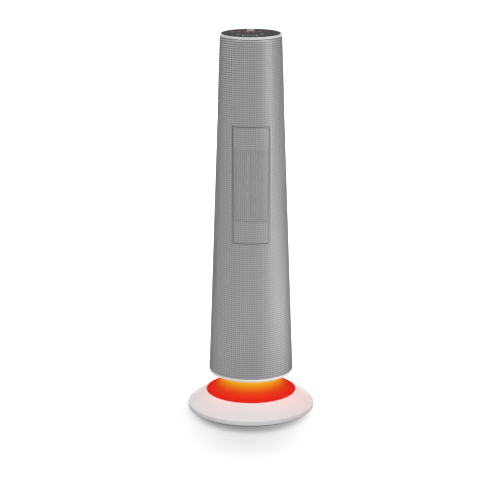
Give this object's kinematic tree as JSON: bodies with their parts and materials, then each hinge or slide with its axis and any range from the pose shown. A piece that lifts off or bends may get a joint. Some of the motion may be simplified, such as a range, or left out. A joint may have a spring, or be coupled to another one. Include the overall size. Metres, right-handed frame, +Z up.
{
  "type": "ceramic tower heater",
  "caption": "Tapered round tower ceramic heater with a perforated metal skin and framed hot air outlet, swinging on a round base over a glowing flared collar, with a touch panel on top.",
  "frame": {"origin": "on the floor under the middle of the base, which is also the middle of the bounding box's underside", "axes": "+Z up along the tower and the swing axis, -Y towards the hot air outlet, +Y towards the cord gland"},
  "size_m": [0.236, 0.236, 0.7054],
  "materials": {
    "white_shell": "gloss",
    "dark_shell": "matte",
    "silver_mesh": "satin",
    "silver_trim": "satin",
    "panel_black": "polished",
    "glow_plastic": "gloss",
    "pan_grey": "matte",
    "foot_rubber": "matte",
    "screw_steel": "satin",
    "ballast_steel": "matte",
    "frame_plastic": "matte",
    "bearing_plastic": "satin",
    "motor_steel": "satin",
    "circuit_board": "satin",
    "light_chip": "gloss",
    "heater_ceramic": "matte",
    "fin_aluminium": "satin",
    "heater_plastic": "matte",
    "tab_brass": "satin",
    "wire_sleeve": "matte",
    "relay_plastic": "satin",
    "capacitor_sleeve": "satin",
    "terminal_plastic": "satin",
    "rocker_frame": "satin",
    "rocker_red": "gloss",
    "fan_aluminium": "satin",
    "duct_plastic": "matte"
  },
  "bodies": {
    "base": {"base_pan": "pan_grey", "rubber_feet": "foot_rubber", "base_shell": "white_shell", "base_screws": "screw_steel", "ballast_ring": "ballast_steel", "cord_gland": "foot_rubber", "mains_terminal": "terminal_plastic", "base_lead": "wire_sleeve", "glow_collar": "glow_plastic", "light_board": "circuit_board", "light_chips": "light_chip", "pedestal": "frame_plastic", "pedestal_screws": "screw_steel", "thrust_washer": "bearing_plastic", "fixed_gear": "bearing_plastic", "retaining_ring": "screw_steel", "tip_switch": "pan_grey", "plunger_spring": "screw_steel"},
    "plunger": {"tip_plunger": "bearing_plastic"},
    "tower": {"tower_floor": "frame_plastic", "pivot_bush": "bearing_plastic", "floor_screws": "screw_steel", "low_ring": "white_shell", "swing_bracket": "motor_steel", "swing_motor": "motor_steel", "swing_screws": "screw_steel", "inner_shell_front": "dark_shell", "inner_shell_rear": "dark_shell", "shell_screws": "screw_steel", "perforated_skin": "silver_mesh", "rear_spine": "silver_trim", "outlet_grille": "silver_mesh", "heater_bezel": "dark_shell", "heater_frame": "heater_plastic", "heater_tubes": "heater_ceramic", "heater_fins": "fin_aluminium", "heater_tabs": "tab_brass", "thermal_cutout": "motor_steel", "lower_bulkhead": "frame_plastic", "upper_bulkhead": "frame_plastic", "fan_scroll": "duct_plastic", "fan_tongue": "duct_plastic", "fan_bush": "tab_brass", "fan_motor": "motor_steel", "power_board": "circuit_board", "relays": "relay_plastic", "smoothing_capacitor": "capacitor_sleeve", "terminal_block": "terminal_plastic", "tower_lead": "wire_sleeve", "rocker_housing": "rocker_frame", "top_ring": "white_shell", "top_screws": "screw_steel", "control_panel": "panel_black", "display_tray": "dark_shell", "display_board": "circuit_board", "digit_display": "relay_plastic"},
    "pinion": {"drive_pinion": "bearing_plastic"},
    "fan": {"fan_wheel": "fan_aluminium", "fan_shaft": "screw_steel"},
    "rocker": {"rocker_key": "rocker_red"}
  },
  "joints": [
    {"name": "tower_turn", "type": "hinge", "parent": "base", "child": "tower", "pos_m": [0, 0, 0.08], "axis": [0, 0, 1], "range_deg": [-35, 35]},
    {"name": "pinion_turn", "type": "hinge", "parent": "tower", "child": "pinion", "pos_m": [0.035, 0, 0.09], "axis": [0, 0, 1], "range_deg": [-140.5, 140.5]},
    {"name": "fan_spin", "type": "hinge", "parent": "tower", "child": "fan", "pos_m": [0, 0.014, 0.4395], "axis": [0, 0, 1], "continuous": true},
    {"name": "rocker_tilt", "type": "hinge", "parent": "tower", "child": "rocker", "pos_m": [0, 0.0746, 0.11991], "axis": [1, 0, 0], "range_deg": [-16, 0]},
    {"name": "plunger_slide", "type": "slide", "parent": "base", "child": "plunger", "axis": [0, 0, 1], "range_m": [-0.004, 0], "stiffness_N_per_m": 100, "springref_m": -0.006, "deforming": ["plunger_spring"]}
  ],
  "couplings": [
    {"joint": "pinion_turn", "follows": "tower_turn", "ratio": 4}
  ]
}
